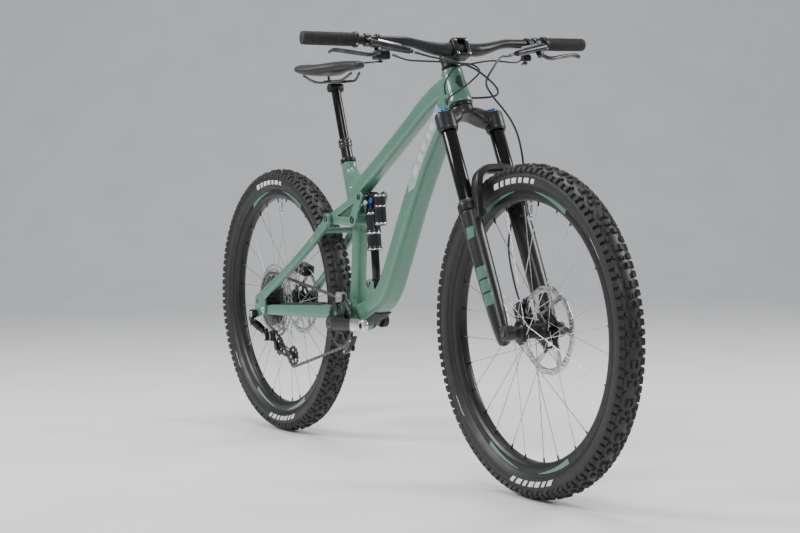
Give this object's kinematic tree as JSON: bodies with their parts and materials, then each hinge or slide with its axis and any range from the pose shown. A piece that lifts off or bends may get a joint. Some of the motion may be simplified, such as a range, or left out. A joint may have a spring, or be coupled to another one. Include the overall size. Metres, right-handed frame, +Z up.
{
  "type": "mountain bike",
  "caption": "Full-suspension trail bicycle with a coupled rear linkage, sliding fork, disc brakes, chain drive and a height-adjustable seat post; no pedals.",
  "frame": {"origin": "on the ground, midway between the two axles, in the bike's centre plane", "axes": "+X forward, +Y to the rider's left, +Z up"},
  "size_m": [1.996, 0.78, 1.0522],
  "materials": {
    "frame_green": "satin mint green paint over alloy tube",
    "black_gloss": "gloss black",
    "black_satin": "satin black anodised",
    "dark_metal": "dark grey metal",
    "bright_metal": "bright polished",
    "tyre_rubber": "matt black rubber",
    "black_rubber": "matt black rubber",
    "saddle_cover": "matt synthetic leather",
    "blue_anodised": "blue anodised"
  },
  "bodies": {
    "frame": {"main_frame": "frame_green", "headset_cover": "black_satin", "seat_clamp": "black_satin", "dropper_outer_tube": "black_satin", "bottom_bracket": "black_satin", "chain_guide": "black_satin", "main_pivot_axle": "dark_metal", "chain": "dark_metal"},
    "steering": {"fork_crown_steerer": "black_gloss", "stem": "black_satin", "stem_faceplate": "bright_metal", "stem_top_cap": "black_satin", "handlebar": "black_satin", "grip_right": "black_rubber", "grip_left": "black_rubber", "brake_master_right": "black_satin", "brake_master_left": "black_satin", "shifter_body": "black_satin", "dropper_remote_body": "black_satin", "front_brake_hose": "black_rubber", "rear_brake_hose": "black_rubber", "shift_cable": "black_rubber", "dropper_cable": "black_rubber"},
    "damper_knob": {"fork_damper_knob": "blue_anodised"},
    "lowers": {"fork_lowers": "black_gloss", "front_axle": "dark_metal", "front_caliper": "black_satin"},
    "front_wheel": {"front_tyre": "tyre_rubber", "front_rim": "black_gloss", "front_hub_spokes": "dark_metal", "front_rotor": "bright_metal"},
    "rocker": {"rocker_link": "frame_green"},
    "chainstays": {"chainstay": "frame_green"},
    "seatstays": {"seatstay": "frame_green", "rear_axle": "dark_metal", "rear_caliper": "black_satin", "derailleur_mount": "black_satin"},
    "derailleur_arm": {"derailleur_link": "black_satin"},
    "derailleur_end": {"derailleur_knuckle": "black_satin"},
    "cage": {"derailleur_cage": "black_satin"},
    "upper_pulley": {"guide_pulley": "black_satin"},
    "lower_pulley": {"tension_pulley": "black_satin"},
    "shock_lower": {"shock_shaft": "dark_metal"},
    "shock_upper": {"shock_body": "black_gloss"},
    "shock_switch": {"shock_lever": "blue_anodised"},
    "rear_wheel": {"rear_tyre": "tyre_rubber", "rear_rim": "black_gloss", "rear_hub_spokes": "dark_metal", "rear_rotor": "bright_metal"},
    "sprockets": {"cassette": "dark_metal"},
    "crankset": {"crank_arm_right": "black_satin", "crank_arm_left": "black_satin", "chainring": "black_satin"},
    "seat_post": {"dropper_stanchion": "black_gloss", "saddle_rails": "dark_metal", "saddle": "saddle_cover"},
    "right_lever": {"brake_lever_right": "bright_metal"},
    "left_lever": {"brake_lever_left": "bright_metal"},
    "gear_thumb": {"shifter_lever": "black_satin"},
    "post_thumb": {"dropper_remote_lever": "black_satin"}
  },
  "joints": [
    {"name": "steering_turn", "type": "hinge", "parent": "frame", "child": "steering", "pos_m": [0.3455, 0, 0.86828], "axis": [-0.4226, 0, 0.9063], "range_deg": [-60, 60], "deforming": ["rear_brake_hose", "shift_cable", "dropper_cable"]},
    {"name": "damper_knob_turn", "type": "hinge", "parent": "steering", "child": "damper_knob", "pos_m": [0.36408, -0.0655, 0.87694], "axis": [-0.4226, 0, 0.9063], "range_deg": [0, 90]},
    {"name": "fork_travel", "type": "slide", "parent": "steering", "child": "lowers", "axis": [-0.4226, 0, 0.9063], "range_m": [0, 0.16], "stiffness_N_per_m": 3500, "springref_m": -0.02, "deforming": ["front_brake_hose"]},
    {"name": "front_wheel_spin", "type": "hinge", "parent": "lowers", "child": "front_wheel", "pos_m": [0.625, 0, 0.373], "axis": [0, 1, 0], "continuous": true},
    {"name": "chainstay_pivot", "type": "hinge", "parent": "frame", "child": "chainstays", "pos_m": [-0.18024, 0, 0.386], "axis": [0, 1, 0], "range_deg": [0, 20.38], "stiffness_Nm_per_rad": 1100, "springref_deg": -1.72, "deforming": ["chain"]},
    {"name": "horst_pivot", "type": "hinge", "parent": "chainstays", "child": "seatstays", "pos_m": [-0.59425, 0, 0.35], "axis": [0, -1, 0], "range_deg": [0, 12.13], "deforming": ["chain"]},
    {"name": "rocker_pivot", "type": "hinge", "parent": "frame", "child": "rocker", "pos_m": [-0.13625, 0, 0.609], "axis": [0, 1, 0], "range_deg": [0, 51.76]},
    {"name": "shock_swing", "type": "hinge", "parent": "frame", "child": "shock_lower", "pos_m": [-0.08124, 0, 0.443], "axis": [0, 1, 0], "range_deg": [0, 9.47]},
    {"name": "shock_stroke", "type": "slide", "parent": "shock_lower", "child": "shock_upper", "axis": [0.075, 0, -0.9972], "range_m": [0, 0.05264]},
    {"name": "shock_lever_turn", "type": "hinge", "parent": "shock_upper", "child": "shock_switch", "pos_m": [-0.07491, -0.018, 0.65872], "axis": [0, 1, 0], "range_deg": [0, 45]},
    {"name": "rear_wheel_spin", "type": "hinge", "parent": "seatstays", "child": "rear_wheel", "pos_m": [-0.625, 0, 0.373], "axis": [0, 1, 0], "continuous": true},
    {"name": "crank_spin", "type": "hinge", "parent": "frame", "child": "crankset", "pos_m": [-0.18824, 0, 0.34], "axis": [0, 1, 0], "continuous": true},
    {"name": "cassette_spin", "type": "hinge", "parent": "seatstays", "child": "sprockets", "pos_m": [-0.625, 0, 0.373], "axis": [0, 1, 0], "continuous": true},
    {"name": "derailleur_shift", "type": "hinge", "parent": "seatstays", "child": "derailleur_arm", "pos_m": [-0.63975, -0.09, 0.3135], "axis": [0.7001, 0, 0.7141], "range_deg": [-47.5, 12.5], "deforming": ["chain"]},
    {"name": "derailleur_level", "type": "hinge", "parent": "derailleur_arm", "child": "derailleur_end", "pos_m": [-0.61425, -0.07, 0.2885], "axis": [-0.7001, 0, -0.7141], "range_deg": [-47.5, 12.5], "deforming": ["chain"]},
    {"name": "cage_swing", "type": "hinge", "parent": "derailleur_end", "child": "cage", "pos_m": [-0.59325, 0, 0.245], "axis": [0, 1, 0], "range_deg": [-15, 35], "deforming": ["chain"]},
    {"name": "guide_pulley_spin", "type": "hinge", "parent": "cage", "child": "upper_pulley", "pos_m": [-0.59325, 0, 0.245], "axis": [0, 1, 0], "continuous": true},
    {"name": "tension_pulley_spin", "type": "hinge", "parent": "cage", "child": "lower_pulley", "pos_m": [-0.50325, 0, 0.224], "axis": [0, 1, 0], "continuous": true},
    {"name": "post_drop", "type": "slide", "parent": "frame", "child": "seat_post", "axis": [-0.3156, 0, 0.9489], "range_m": [-0.125, 0], "stiffness_N_per_m": 250, "springref_m": 0.1},
    {"name": "right_brake_pull", "type": "hinge", "parent": "steering", "child": "right_lever", "pos_m": [0.3486, -0.222, 1.00572], "axis": [-0.7848, 0, -0.6198], "range_deg": [0, 12.5], "stiffness_Nm_per_rad": 0.6, "springref_deg": -22.92},
    {"name": "left_brake_pull", "type": "hinge", "parent": "steering", "child": "left_lever", "pos_m": [0.3486, 0.222, 1.00572], "axis": [0.7848, 0, 0.6198], "range_deg": [0, 12.5], "stiffness_Nm_per_rad": 0.6, "springref_deg": -22.92},
    {"name": "gear_push", "type": "hinge", "parent": "steering", "child": "gear_thumb", "pos_m": [0.31399, -0.2, 0.9842], "axis": [0, 0, 1], "range_deg": [0, 25], "stiffness_Nm_per_rad": 0.2, "springref_deg": -22.92},
    {"name": "post_remote_push", "type": "hinge", "parent": "steering", "child": "post_thumb", "pos_m": [0.31399, 0.2, 0.9872], "axis": [0, 0, -1], "range_deg": [0, 25], "stiffness_Nm_per_rad": 0.2, "springref_deg": -22.92}
  ],
  "couplings": [
    {"joint": "horst_pivot", "follows": "chainstay_pivot", "ratio": 0.59452},
    {"joint": "rocker_pivot", "follows": "chainstay_pivot", "ratio": 2.5394},
    {"joint": "shock_swing", "follows": "chainstay_pivot", "ratio": 0.46423},
    {"joint": "shock_stroke", "follows": "chainstay_pivot", "m_per_rad": 0.14797},
    {"joint": "cassette_spin", "follows": "crank_spin", "ratio": 0.82051},
    {"joint": "guide_pulley_spin", "follows": "crank_spin", "ratio": -2.6667},
    {"joint": "tension_pulley_spin", "follows": "crank_spin", "ratio": 2.2857},
    {"joint": "derailleur_level", "follows": "derailleur_shift", "ratio": 1}
  ]
}
